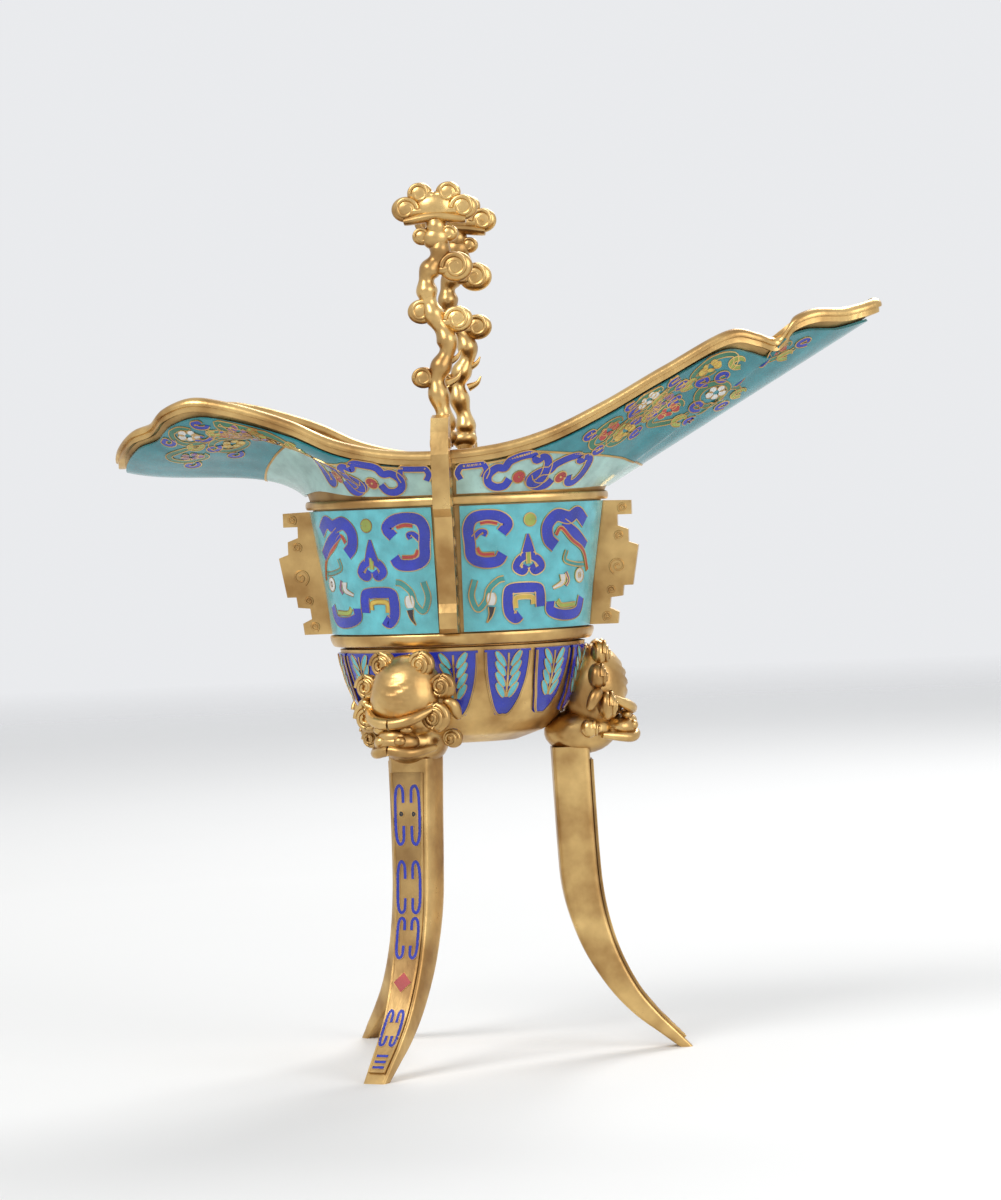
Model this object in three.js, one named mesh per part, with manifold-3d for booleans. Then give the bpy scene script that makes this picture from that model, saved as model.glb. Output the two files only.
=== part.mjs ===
// A tripod libation cup in gilt bronze with cloisonne enamel, in millimetres, +Z up.
// The cup has a low rounded spout towards -X and a long pointed tail towards +X. Two posts stand on the rim,
// one in front and one behind, and three curved blade legs hang from lion masks on the bowl.
import * as THREE from "three";
import { mergeVertices } from "three/addons/utils/BufferGeometryUtils.js";
import Module from "manifold-3d";

const wasm = await Module();
wasm.setup();

// Driving dimensions
const OVAL = 0.82; // width of the cup front to back, as a share of its length along X
const SEAM_Z = 95.1; // joint of the cup wall and the bowl
const NECK_Z = 127; // top of the belly
const BAND_H = 2; // height of the upper band
const LOWER_BAND_H = 3;
const SEAM_R = 28.9; // half length of the oval at the seam
const NECK_R = 34.1; // half length of the oval at the neck
const WALL = 1.8; // bronze wall of the cup
const ENAMEL = 0.6; // thickness of an enamel field
const GAP = 0.3; // clearance between pieces that touch
const BAND_PROUD = 0.8; // how far a band stands out from the enamel
const MOULDING_H = 3.2; // height of the rim moulding
const MOULDING_W = 3.8; // width of the rim moulding
const BOWL_BOTTOM_Z = 71.5;
const BOWL_WALL = 2.4;
const PLATE_T = 4; // thickness of a flange or a strap
const LAPPETS = 14;
const LEG_TURN = 7; // degrees from +X to the first leg
const LEG_TOP_Z = 70.4;
const POST_Y = 24.3; // distance of a post from the cup's axis
const POST_DEPTH = 6; // size of a post front to back
const POST_TOP_Z = 200;
const HEAD_R = 29; // distance of a lion mask from the cup's axis
const HEAD_Z = 82;
const AROUND = 64; // steps round the mouth

// Half of the rim's top line, from the tail's point round to the middle of the spout
const RIM = [
  [98.7, 0, 170.3],
  [91.5, 6.5, 168.3],
  [84, 12, 168],
  [79, 14, 166],
  [75.5, 13.6, 162],
  [71.5, 17, 163],
  [66, 19.4, 164],
  [50, 22.8, 156.3],
  [36.5, 25.4, 149],
  [23, 27.6, 143],
  [10, 29.2, 140],
  [-10, 29.8, 139.6],
  [-24, 29.2, 142.6],
  [-35, 28.4, 147.7],
  [-49, 27.4, 152.3],
  [-57, 26.4, 153.5],
  [-64, 23, 151.5],
  [-68, 17.6, 148.4],
  [-72.5, 14.6, 147],
  [-76.6, 8, 144],
  [-78.3, 0, 141.5],
];

// A closed triangle mesh, with its faces turned outwards.
function closedMesh(points, faces) {
  const corner = (i) => points[i];
  const volume = faces.reduce(
    (sum, [a, b, c]) => sum + corner(a).dot(new THREE.Vector3().crossVectors(corner(b), corner(c))),
    0,
  );
  const order = volume < 0 ? faces.map(([a, b, c]) => [a, c, b]) : faces;
  const geometry = new THREE.BufferGeometry();
  geometry.setAttribute("position", new THREE.Float32BufferAttribute(points.flatMap((p) => [p.x, p.y, p.z]), 3));
  geometry.setIndex(order.flat());
  return geometry;
}

// A band of sections with the same number of corners, closed on itself or capped at both ends.
function loft(sections, closed = false) {
  const m = sections[0].length;
  const n = sections.length;
  const points = sections.flat();
  const faces = [];
  for (let i = 0; i < (closed ? n : n - 1); i++)
    for (let j = 0; j < m; j++) {
      const a = i * m + j;
      const b = i * m + ((j + 1) % m);
      const c = ((i + 1) % n) * m + j;
      const d = ((i + 1) % n) * m + ((j + 1) % m);
      faces.push([a, b, d], [a, d, c]);
    }
  if (!closed)
    [0, n - 1].forEach((i) => {
      const middle = points.length;
      const centre = new THREE.Vector3();
      sections[i].forEach((p) => centre.addScaledVector(p, 1 / m));
      points.push(centre);
      for (let j = 0; j < m; j++) {
        const pair = [i * m + j, i * m + ((j + 1) % m)];
        faces.push(i ? [middle, ...pair] : [middle, pair[1], pair[0]]);
      }
    });
  return closedMesh(points, faces);
}

// A thin plate between an outer and an inner surface over the unit square.
function slab(outer, inner, nu, nv) {
  const rows = [];
  for (let i = 0; i <= nu; i++) {
    const up = [];
    const down = [];
    for (let j = 0; j <= nv; j++) {
      up.push(outer(i / nu, j / nv));
      down.unshift(inner(i / nu, j / nv));
    }
    rows.push([...up, ...down]);
  }
  const m = rows[0].length;
  const points = rows.flat();
  const faces = [];
  for (let i = 0; i < nu; i++)
    for (let j = 0; j < m; j++) {
      const a = i * m + j;
      const b = i * m + ((j + 1) % m);
      faces.push([a, b, b + m], [a, b + m, a + m]);
    }
  [0, nu].forEach((i) => {
    for (let j = 0; j < nv; j++) {
      const a = i * m + j;
      const b = i * m + j + 1;
      const c = i * m + m - 1 - j;
      const d = i * m + m - 2 - j;
      faces.push(...(i ? [[a, b, c], [b, d, c]] : [[a, c, b], [b, c, d]]));
    }
  });
  return closedMesh(points, faces);
}

function solid(geometry) {
  const bare = geometry.clone();
  bare.deleteAttribute("normal");
  bare.deleteAttribute("uv");
  const merged = mergeVertices(bare, 1e-4);
  return new wasm.Manifold(
    new wasm.Mesh({
      numProp: 3,
      vertProperties: merged.attributes.position.array,
      triVerts: new Uint32Array(merged.index.array),
    }),
  );
}

// The largest body of a solid, as a geometry: a cut can leave a crumb beside it.
function geometryOf(made) {
  const bodies = made.decompose();
  const whole = bodies.reduce((best, body) => (body.volume() > best.volume() ? body : best));
  const mesh = whole.getMesh();
  const geometry = new THREE.BufferGeometry();
  geometry.setAttribute("position", new THREE.BufferAttribute(Float32Array.from(mesh.vertProperties), 3));
  geometry.setIndex(new THREE.BufferAttribute(Uint32Array.from(mesh.triVerts), 1));
  return geometry;
}

const union = (geometries) => geometries.map(solid).reduce((sum, next) => sum.add(next));

const materials = {
  gilt: { color: 0xd8ab4e, roughness: 0.3, metalness: 1 },
  turquoise: { color: 0x2f9fa6, roughness: 0.25, metalness: 0 },
  cobalt: { color: 0x1f3f94, roughness: 0.25, metalness: 0 },
};
const cup = new THREE.Group();
function add(name, geometry, finish) {
  const mesh = new THREE.Mesh(geometry, new THREE.MeshStandardMaterial(materials[finish]));
  mesh.name = name;
  cup.add(mesh);
  return mesh;
}

// Belly: an oval that widens upwards
const BELLY = [
  [SEAM_Z, SEAM_R],
  [SEAM_Z + 3.1, 29.9],
  [107.5, 31],
  [114.4, 32.1],
  [NECK_Z, NECK_R],
];
function bellyRadius(z) {
  const k = Math.max(1, BELLY.findIndex(([top]) => top >= z));
  const [z0, r0] = BELLY[k - 1];
  const [z1, r1] = BELLY[k];
  return r0 + ((r1 - r0) * (z - z0)) / (z1 - z0);
}
function ovalPoint(radius, angle, z, out = 0) {
  return new THREE.Vector3((radius + out) * Math.cos(angle), (radius * OVAL + out) * Math.sin(angle), z);
}
const bellyPoint = (angle, z, out) => ovalPoint(bellyRadius(z), angle, z, out);

// Lips: straight rays in plan from the neck oval to the rim, steep and then flat under the spout
const half = RIM.map(([x, y, z]) => new THREE.Vector3(x, y, z));
const mirrored = half.slice(1, -1).reverse().map((p) => new THREE.Vector3(p.x, -p.y, p.z));
const rimCurve = new THREE.CatmullRomCurve3([...half, ...mirrored], true, "centripetal");
const LIP_Z = NECK_Z + BAND_H + GAP;
function rimAngle(p) {
  return Math.atan2(p.y / (NECK_R * OVAL), p.x / NECK_R);
}
function lipBare(u, s) {
  const top = rimCurve.getPointAt(((u % 1) + 1) % 1);
  const base = ovalPoint(NECK_R, rimAngle(top), LIP_Z);
  const edgeZ = top.z - MOULDING_H - GAP;
  const spout = THREE.MathUtils.smoothstep(-top.x, 10, 50);
  const flat = 0.72 * (1 - Math.exp(-s / 0.14)) + 0.28 * s ** 6;
  const rise = s * (1 - spout) + flat * spout;
  return new THREE.Vector3(
    base.x + (top.x - base.x) * s,
    base.y + (top.y - base.y) * s,
    base.z + (edgeZ - base.z) * rise,
  );
}
// The skin's outward direction is taken over a wide step, so that it turns slowly round the points and notches
const WIDE_U = 0.02;
const WIDE_S = 0.12;
function lipPoint(u, s, out) {
  const along = lipBare(u + WIDE_U, s).sub(lipBare(u - WIDE_U, s));
  const up = lipBare(u, Math.min(1, s + WIDE_S)).sub(lipBare(u, Math.max(0, s - WIDE_S)));
  return lipBare(u, s).addScaledVector(along.cross(up).normalize(), out);
}

// Rim moulding: a flat strip with a rounded bead on it
const MOULDING_IN = ENAMEL + WALL / 2;
function mouldingSection(u, grow) {
  const p = rimCurve.getPointAt(u);
  const ahead = rimCurve.getTangentAt(u);
  const out = new THREE.Vector3(ahead.y, -ahead.x, 0).normalize();
  const w = MOULDING_W / 2 + grow;
  const outline = [
    [-0.65 * w, -grow],
    [0.65 * w, -grow],
    [0.65 * w, 0.38 * MOULDING_H],
    [w, 0.62 * MOULDING_H],
    [0.55 * w, MOULDING_H + grow],
    [-0.55 * w, MOULDING_H + grow],
    [-w, 0.62 * MOULDING_H],
    [-0.65 * w, 0.38 * MOULDING_H],
  ];
  return outline.map(([x, z]) =>
    p.clone().addScaledVector(out, x - MOULDING_IN).setZ(p.z - MOULDING_H + z),
  );
}
const steps = Array.from({ length: AROUND }, (_, i) => i / AROUND);
add("rim_moulding", loft(steps.map((u) => mouldingSection(u, 0)), true), "gilt");

// Cup wall: belly and lips in one shell, cut to seat the moulding
const WALL_OUT = -ENAMEL - GAP;
const LIP_SHARES = [0.07, 0.25, 0.5, 0.78, 1]; // rows of the lips, from the neck to the rim
function wallSection(u) {
  const angle = rimAngle(rimCurve.getPointAt(u));
  const rows = [SEAM_Z + GAP, 107.5, 118, NECK_Z + BAND_H];
  const side = (out) => [
    ...rows.map((z) => bellyPoint(angle, Math.min(z, NECK_Z), out).setZ(z)),
    ...LIP_SHARES.map((s) => lipPoint(u, s, out)),
  ];
  return [...side(WALL_OUT), ...side(WALL_OUT - WALL).reverse()];
}
const wall = solid(loft(steps.map(wallSection), true));
const seat = solid(loft(steps.map((u) => mouldingSection(u, GAP)), true));
add("cup_wall", geometryOf(wall.subtract(seat)), "gilt");

// Bands: rings round the wall, proud of the enamel
function band(name, z0, z1) {
  const ring = Array.from({ length: 48 }, (_, i) => {
    const angle = (i / 48) * 2 * Math.PI;
    const at = (z, out) => bellyPoint(angle, Math.min(z, NECK_Z), out).setZ(z);
    return [at(z0, WALL_OUT + GAP), at(z0, BAND_PROUD), at(z1, BAND_PROUD), at(z1, WALL_OUT + GAP)];
  });
  add(name, loft(ring, true), "gilt");
}
band("upper_band", NECK_Z, NECK_Z + BAND_H);
band("lower_band", SEAM_Z + GAP, SEAM_Z + LOWER_BAND_H);

// Belly enamel: four fields between the flanges and the straps
const FIELD_SIDE = PLATE_T / 2 + GAP;
const FIELD_Z0 = SEAM_Z + LOWER_BAND_H + GAP;
const FIELD_Z1 = NECK_Z - GAP;
const flangeAngle = Math.asin(FIELD_SIDE / (SEAM_R * OVAL)) + 0.01;
const strapAngle = Math.asin(FIELD_SIDE / SEAM_R) + 0.01;
["tail_back", "spout_back", "spout_front", "tail_front"].forEach((name, k) => {
  const first = (k * Math.PI) / 2 + (k % 2 ? strapAngle : flangeAngle);
  const last = ((k + 1) * Math.PI) / 2 - (k % 2 ? flangeAngle : strapAngle);
  const at = (out) => (u, v) => bellyPoint(first + (last - first) * u, FIELD_Z0 + (FIELD_Z1 - FIELD_Z0) * v, out);
  add("belly_enamel_" + name, slab(at(0), at(-ENAMEL), 10, 4), "turquoise");
});

// Lip enamel: one field under the tail and one under the spout, parted at the straps
function shareAt(x) {
  let low = 0;
  let high = 0.5;
  for (let i = 0; i < 40; i++) {
    const middle = (low + high) / 2;
    if (rimCurve.getPointAt(middle).x > x) low = middle;
    else high = middle;
  }
  return low;
}
const FIELD_SHARES = [0.02, ...LIP_SHARES.slice(0, -1), 0.95]; // the field meets the wall's own rows
const LIP_LIFT = 0.25; // more room under the lip fields, for the facets of the wall
const tailEnd = shareAt(FIELD_SIDE + 0.4);
const spoutStart = shareAt(-FIELD_SIDE - 0.4);
[
  ["tail_lip_enamel", -tailEnd, tailEnd],
  ["spout_lip_enamel", spoutStart, 1 - spoutStart],
].forEach(([name, from, to]) => {
  const first = Math.ceil(from * AROUND + 0.1);
  const inside = Array.from({ length: Math.floor(to * AROUND - 0.1) - first + 1 }, (_, i) => (first + i) / AROUND);
  const across = [from, ...inside, to];
  const nu = across.length - 1;
  const nv = FIELD_SHARES.length - 1;
  const at = (out) => (u, v) => lipPoint(across[Math.round(u * nu)], FIELD_SHARES[Math.round(v * nv)], out);
  const plate = solid(slab(at(LIP_LIFT), at(LIP_LIFT - ENAMEL), nu, nv)).subtract(seat);
  add(name, geometryOf(plate), "turquoise");
});

// Flanges: flat plates with a stepped outline, left and right
const FLANGE_STEPS = [
  [29.9, 98.4],
  [36.2, 98.4],
  [36.5, 101],
  [34.4, 102],
  [34.7, 104.4],
  [37.5, 104.7],
  [37.8, 107.1],
  [39.9, 107.1],
  [41.5, 116.2],
  [39.3, 117],
  [39.3, 119.9],
  [36.9, 120.8],
  [36.9, 123.3],
  [40.2, 123.3],
  [40.2, 126.5],
];
function plate(outline, name, turn) {
  const shape = new THREE.Shape(outline.map(([r, z]) => new THREE.Vector2(r, z)));
  const geometry = new THREE.ExtrudeGeometry(shape, { depth: PLATE_T, bevelEnabled: false });
  geometry.translate(0, 0, -PLATE_T / 2).rotateX(Math.PI / 2).rotateZ(turn);
  return add(name, geometry, "gilt");
}
const wallEdge = (share) =>
  [FIELD_Z1, 114.4, 107.5, FIELD_Z0].map((z) => [bellyRadius(z) * share + WALL_OUT + GAP, z]);
const flange = [...FLANGE_STEPS.slice(1), ...wallEdge(1)];
plate(flange, "flange_tail", 0);
plate(flange, "flange_spout", Math.PI);

// Straps: long plates that run from the lower band up over the rim, front and back
const NECK_Y = NECK_R * OVAL;
const rimSide = rimCurve.getPointAt(shareAt(0));
const beadOut = rimSide.y - MOULDING_IN + MOULDING_W / 2 + GAP;
const beadTop = rimSide.z + GAP;
const STRAP_OUT = 5.5; // how far a strap stands out from the belly
const STRAP_TOP_Z = 147.3;
const strap = [
  ...wallEdge(OVAL).reverse(),
  [NECK_Y + BAND_PROUD + GAP, FIELD_Z1],
  [NECK_Y + BAND_PROUD + GAP, LIP_Z],
  [rimSide.y, beadTop - MOULDING_H - 2 * GAP],
  [beadOut, beadTop - MOULDING_H - 2 * GAP],
  [beadOut, beadTop],
  [POST_Y + POST_DEPTH / 2 + GAP, beadTop],
  [POST_Y + POST_DEPTH / 2 + GAP, STRAP_TOP_Z],
  [NECK_Y + 4.2, STRAP_TOP_Z - 0.8],
  [NECK_Y + 6.4, STRAP_TOP_Z - 4],
  [NECK_Y + 7.6, STRAP_TOP_Z - 9],
  [NECK_Y + 7.4, 126.2],
  [NECK_Y + STRAP_OUT, 124.4],
  [bellyRadius(114) * OVAL + STRAP_OUT, 114],
  [bellyRadius(105) * OVAL + STRAP_OUT, 105],
  [bellyRadius(103) * OVAL + STRAP_OUT + 1, 103],
  [bellyRadius(99) * OVAL + STRAP_OUT + 1, FIELD_Z0 + 1],
  [bellyRadius(99) * OVAL + STRAP_OUT, FIELD_Z0],
];
plate(strap, "strap_front", -Math.PI / 2);
plate(strap, "strap_back", Math.PI / 2);

// Posts: a dragon that climbs through clouds, under a cloud cap
function disc(x, z, radius, depth, sides = 12) {
  return new THREE.CylinderGeometry(radius, radius, depth, sides).translate(x, 0, z);
}
function sweep(points, radius, count) {
  const path = new THREE.CatmullRomCurve3(points.map(([x, z]) => new THREE.Vector3(x, 0, z)));
  const ring = new THREE.Shape();
  ring.absellipse(0, 0, radius, radius, 0, 2 * Math.PI);
  return new THREE.ExtrudeGeometry(ring, { steps: count, curveSegments: 3, extrudePath: path });
}
const CLOUDS = [
  [-3.6, 155.8, 2.9],
  [3.4, 168.4, 3.2],
  [-3.4, 170.6, 3.2],
  [3.6, 180.4, 4],
  [-2.6, 187.6, 3.2],
  [2.8, 188.2, 2.6],
];
const CAP = [
  [-6.6, 194, 3.3],
  [6.6, 194, 3.3],
  [-3.2, POST_TOP_Z - 3.6, 3.6],
  [3.2, POST_TOP_Z - 3.4, 3.4],
  [0, 193.4, 3.4],
];
const postFoot = beadTop;
function post(name, y) {
  const body = sweep([[0, postFoot], [0.4, 148], [-0.8, 158], [1.4, 168], [-2.2, 178], [0, 186], [0, 195]], 2.7, 12);
  const clouds = CLOUDS.map(([x, z, r]) => disc(x, z, r, POST_DEPTH, 10));
  const cap = CAP.map(([x, z, r]) => disc(x, z, r, POST_DEPTH + 0.6, 10));
  const foot = new THREE.BoxGeometry(6.2, POST_DEPTH, 5).translate(0, 0, postFoot + 2.5);
  const geometry = geometryOf(union([body, foot, ...clouds, ...cap]));
  add(name, geometry.translate(0, y, 0), "gilt");
}
// A post's foot laps the inner edge of the moulding, so the post stands just above it
post("post_front", -POST_Y);
post("post_back", POST_Y);

// Bowl: the lower cup, closed below
const BOWL = [
  [0, BOWL_BOTTOM_Z],
  [12, BOWL_BOTTOM_Z + 0.6],
  [18.5, BOWL_BOTTOM_Z + 2.8],
  [22, 77.5],
  [24.3, 80.9],
  [25.7, 83.3],
  [27.2, 87.3],
  [28.4, 91.7],
  [SEAM_R, SEAM_Z],
];
function bowlSkin(out) {
  return BOWL.map(([r, z], i) => {
    const [ra, za] = BOWL[Math.max(0, i - 1)];
    const [rb, zb] = BOWL[Math.min(BOWL.length - 1, i + 1)];
    const length = Math.hypot(rb - ra, zb - za);
    const side = i ? (out * (zb - za)) / length : 0;
    return [r + side, z - (out * (rb - ra)) / length];
  });
}
function turned(profile) {
  const points = profile.map(([r, z]) => new THREE.Vector2(Math.max(0, r), z));
  return new THREE.LatheGeometry(points, 44).rotateX(Math.PI / 2).scale(1, OVAL, 1);
}
const bowlOuter = bowlSkin(WALL_OUT).map(([r, z], i) => [r, i === BOWL.length - 1 ? SEAM_Z : z]);
const bowlInner = bowlSkin(WALL_OUT - BOWL_WALL).map(([r, z], i) => [r, i === BOWL.length - 1 ? SEAM_Z : z]);
add("bowl", turned([...bowlOuter, ...bowlInner.reverse()]), "gilt");

// Lappets: leaf-shaped enamel fields that point down the bowl
const LAPPET_SIDE = 0.5 - 0.02; // half width of a leaf at its top, as a share of its pitch
const LEAF_LIFT = 0.15; // more room under a leaf, for the facets of the bowl
function bowlPoint(angle, share, out) {
  const skin = bowlSkin(out);
  const first = 2;
  const span = skin.length - 1 - first;
  const at = first + share * span;
  const k = Math.min(skin.length - 2, Math.floor(at));
  const t = at - k;
  const r = skin[k][0] * (1 - t) + skin[k + 1][0] * t;
  const z = skin[k][1] * (1 - t) + skin[k + 1][1] * t;
  return new THREE.Vector3(r * Math.cos(angle), r * OVAL * Math.sin(angle), z);
}
for (let k = 0; k < LAPPETS; k++) {
  const middle = ((k + 0.5) / LAPPETS) * 2 * Math.PI;
  const pitch = (2 * Math.PI) / LAPPETS;
  const at = (out) => (u, v) => {
    const wide = LAPPET_SIDE * Math.sqrt(Math.sin((0.06 + 0.44 * v) * Math.PI));
    return bowlPoint(middle + (2 * u - 1) * wide * pitch, 0.04 + 0.9 * v, out);
  };
  const leaf = slab(at(LEAF_LIFT), at(LEAF_LIFT - ENAMEL), 3, 4);
  add("lappet_" + String(k + 1).padStart(2, "0"), leaf, k % 2 ? "turquoise" : "cobalt");
}

// Legs: blades that sweep outwards to rounded tips, each with an enamelled outer face
const LEG = [
  // height, inner edge, outer edge, width
  [LEG_TOP_Z, 19.4, 28.2, 10],
  [59, 19.7, 28.5, 9.4],
  [47, 20.1, 28.9, 9],
  [38, 20.7, 29.5, 8.7],
  [30, 22.6, 30.9, 8.3],
  [22, 25.8, 33.4, 7.8],
  [14, 30.8, 37.4, 7.2],
  [8, 36.2, 42, 6.6],
  [3.4, 42, 46.3, 6],
  [0, 46.4, 49.4, 5.5],
];
const CHAMFER = 0.8;
const INLAY_SIDE = 1.1; // gilt edge left beside the enamel of a leg
const rings = LEG.map(([z, inner, outer, width]) => {
  const w = width / 2;
  return [
    [inner, -w],
    [outer - CHAMFER, -w],
    [outer, -w + CHAMFER],
    [outer, w - CHAMFER],
    [outer - CHAMFER, w],
    [inner, w],
  ].map(([x, y]) => new THREE.Vector3(x, y, z));
});
const legShape = loft(rings);
function inlayPoint(u, v, out) {
  const at = 0.25 + v * (LEG.length - 2.25);
  const k = Math.min(LEG.length - 2, Math.floor(at));
  const t = at - k;
  const [z, , r, width] = LEG[k].map((value, i) => value * (1 - t) + LEG[k + 1][i] * t);
  const lean = new THREE.Vector2(LEG[k + 1][2] - LEG[k][2], LEG[k + 1][0] - LEG[k][0]).normalize();
  const w = width / 2 - INLAY_SIDE;
  return new THREE.Vector3(r - lean.y * out, (2 * u - 1) * w, z + lean.x * out);
}
const inlay = slab(
  (u, v) => inlayPoint(u, v, GAP + ENAMEL),
  (u, v) => inlayPoint(u, v, GAP),
  2,
  16,
);

// Lion masks: a domed face with brow, snout and jaw, in a mane of round curls
function ball(x, y, z, rx, ry, rz, sides = 6) {
  return new THREE.SphereGeometry(1, sides, sides - 2).rotateX(Math.PI / 2).scale(rx, ry, rz).translate(x, y, z);
}
const MANE = [
  [-9.2, -5.5, 3],
  [-10, 0.8, 3],
  [-8.4, 7, 3.2],
  [-3.2, 10.6, 3.2],
];
function lionMask() {
  const pieces = [
    ball(0, 0, 0, 7.4, 10.2, 12.4, 10),
    ball(6, 0, -3.6, 4.4, 4.6, 3.6),
    ball(4.4, 0, -8.6, 4.6, 5.2, 3),
    ball(8, 0, -1.8, 2.4, 2.4, 1.8),
  ];
  [-1, 1].forEach((side) => {
    pieces.push(ball(5.6, side * 3.8, 2.6, 2.6, 3, 2.2));
    pieces.push(ball(4.4, side * 4.4, 6, 2.6, 4, 2));
    MANE.forEach(([y, z, r]) => pieces.push(ball(1.2, side * y, z, 3.6, r, r)));
  });
  return union(pieces);
}
const mask = lionMask();
const around = turned([...bowlSkin(GAP + LEAF_LIFT), [0, SEAM_Z]]);
const keepOut = solid(around);
const bandKeepOut = solid(
  new THREE.CylinderGeometry(60, 60, 40, 12).rotateX(Math.PI / 2).translate(0, 0, SEAM_Z - GAP + 20),
);
const legKeepOut = solid(
  new THREE.CylinderGeometry(80, 80, 40, 12).rotateX(Math.PI / 2).translate(0, 0, LEG_TOP_Z + GAP - 20),
);
["tail", "back", "front"].forEach((name, k) => {
  const turn = THREE.MathUtils.degToRad(LEG_TURN + k * 120);
  const reach = Math.hypot(Math.cos(turn), Math.sin(turn) * OVAL);
  const placed = geometryOf(mask).translate(HEAD_R * (0.35 + 0.65 * reach), 0, HEAD_Z).rotateZ(turn);
  add("lion_mask_" + name, geometryOf(solid(placed).subtract(keepOut).subtract(bandKeepOut).subtract(legKeepOut)), "gilt");
  add("leg_" + name, legShape.clone().rotateZ(turn), "gilt");
  add("leg_enamel_" + name, inlay.clone().rotateZ(turn), "cobalt");
});

// The part's origin is at the middle of its footprint, on the surface that it stands on
const box = new THREE.Box3().setFromObject(cup);
const middle = box.getCenter(new THREE.Vector3());
cup.position.set(-middle.x, -middle.y, -box.min.z);
const group = new THREE.Group();
group.add(cup);
group.updateMatrixWorld(true);
export default group;
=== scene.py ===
# %% [markdown]
# A libation cup in gilt bronze and cloisonne enamel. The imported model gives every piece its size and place.
# Here each piece gets its finish, and the cast and enamelled forms are worked out again as smooth surfaces.

# %% Load the frame
import bpy
import numpy as np
from mathutils import Matrix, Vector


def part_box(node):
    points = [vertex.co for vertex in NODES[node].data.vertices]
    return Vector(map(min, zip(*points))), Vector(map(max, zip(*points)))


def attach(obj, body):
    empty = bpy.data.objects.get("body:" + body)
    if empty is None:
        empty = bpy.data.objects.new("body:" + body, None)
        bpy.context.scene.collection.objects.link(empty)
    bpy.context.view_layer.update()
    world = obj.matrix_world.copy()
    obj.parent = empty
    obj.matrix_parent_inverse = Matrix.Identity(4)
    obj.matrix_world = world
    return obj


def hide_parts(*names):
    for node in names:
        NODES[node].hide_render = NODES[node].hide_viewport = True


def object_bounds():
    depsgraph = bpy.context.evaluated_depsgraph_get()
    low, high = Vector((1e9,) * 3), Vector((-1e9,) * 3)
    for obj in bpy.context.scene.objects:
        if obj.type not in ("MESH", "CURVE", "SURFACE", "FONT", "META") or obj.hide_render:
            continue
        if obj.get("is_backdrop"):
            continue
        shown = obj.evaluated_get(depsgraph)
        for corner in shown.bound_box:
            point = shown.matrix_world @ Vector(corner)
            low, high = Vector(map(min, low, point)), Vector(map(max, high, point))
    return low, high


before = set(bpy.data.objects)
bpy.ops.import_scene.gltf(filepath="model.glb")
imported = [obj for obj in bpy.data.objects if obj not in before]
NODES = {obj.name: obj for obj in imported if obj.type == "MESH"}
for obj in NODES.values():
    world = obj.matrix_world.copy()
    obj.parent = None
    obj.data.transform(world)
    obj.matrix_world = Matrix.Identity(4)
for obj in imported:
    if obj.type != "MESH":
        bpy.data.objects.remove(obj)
cad_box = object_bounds()
MM = 0.001
print("nodes", len(NODES))

# %% [markdown]
# The camera stands where the photographer stood: in front of the cup, a little towards its tail, level with the
# upper band and about a metre away. A camera could be aimed with a constraint; worked-out angles keep it free of one, and the small roll
# repeats the lean of the photograph.

# %% Camera
low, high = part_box("lower_band")
AXIS = (np.array(low) + np.array(high)) / 2 * [1, 1, 0] / MM
DISTANCE = 990.0
EYE_Z = 127.9
AZIMUTH, AIM_RIGHT, PITCH, ROLL = np.radians([5.5, 0.53, 1.344, -2.3])
camera = bpy.data.objects.new("camera", bpy.data.cameras.new("camera"))
bpy.context.scene.collection.objects.link(camera)
camera.data.sensor_fit = "VERTICAL"
camera.data.sensor_height = 36
camera.data.lens = 129
camera.data.clip_end = 20
spot = (AXIS + DISTANCE * np.array([np.sin(AZIMUTH), -np.cos(AZIMUTH), 0]) + [0, 0, EYE_Z]) * MM
turn = Matrix.Rotation(AZIMUTH - AIM_RIGHT, 4, "Z") @ Matrix.Rotation(np.pi / 2 - PITCH, 4, "X")
camera.matrix_world = Matrix.Translation(spot) @ turn @ Matrix.Rotation(ROLL, 4, "Z")
bpy.context.scene.camera = camera
bpy.context.scene.view_settings.view_transform = "Standard"
print("axis", AXIS.round(2))

# %% [markdown]
# Plain soft studio light: a pale floor, a large key lamp, a fill and a rim. A pale world shows in the gilding.

# %% Floor, lamps and world
def lamp(name, place, size, power):
    light = bpy.data.lights.new(name, "AREA")
    light.size = size
    light.energy = power
    obj = bpy.data.objects.new(name, light)
    bpy.context.scene.collection.objects.link(obj)
    away = -np.array(place) + [0, 0, 0.1]
    from mathutils import Vector
    obj.matrix_world = Matrix.Translation(place) @ Vector(away).to_track_quat("-Z", "Y").to_matrix().to_4x4()


lamp("key", (-0.7, -0.9, 1.1), 0.7, 13)
lamp("fill", (1.0, -0.8, 0.6), 0.9, 7)
lamp("rim", (0.3, 1.0, 0.9), 0.6, 9)
world = bpy.data.worlds.new("studio")
bpy.context.scene.world = world
world.use_nodes = True
sky = world.node_tree.nodes["Background"]
sky.inputs["Color"].default_value = (0.82, 0.83, 0.85, 1)
path = world.node_tree.nodes.new("ShaderNodeLightPath")
seen = world.node_tree.nodes.new("ShaderNodeMath")
seen.operation = "MAXIMUM"
world.node_tree.links.new(path.outputs["Is Camera Ray"], seen.inputs[0])
world.node_tree.links.new(path.outputs["Is Transmission Ray"], seen.inputs[1])
either = world.node_tree.nodes.new("ShaderNodeMath")
either.operation = "MAXIMUM"
world.node_tree.links.new(seen.outputs[0], either.inputs[0])
world.node_tree.links.new(path.outputs["Is Glossy Ray"], either.inputs[1])
power = world.node_tree.nodes.new("ShaderNodeMapRange")
power.inputs["To Min"].default_value = 0.45
power.inputs["To Max"].default_value = 1.0
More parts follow.
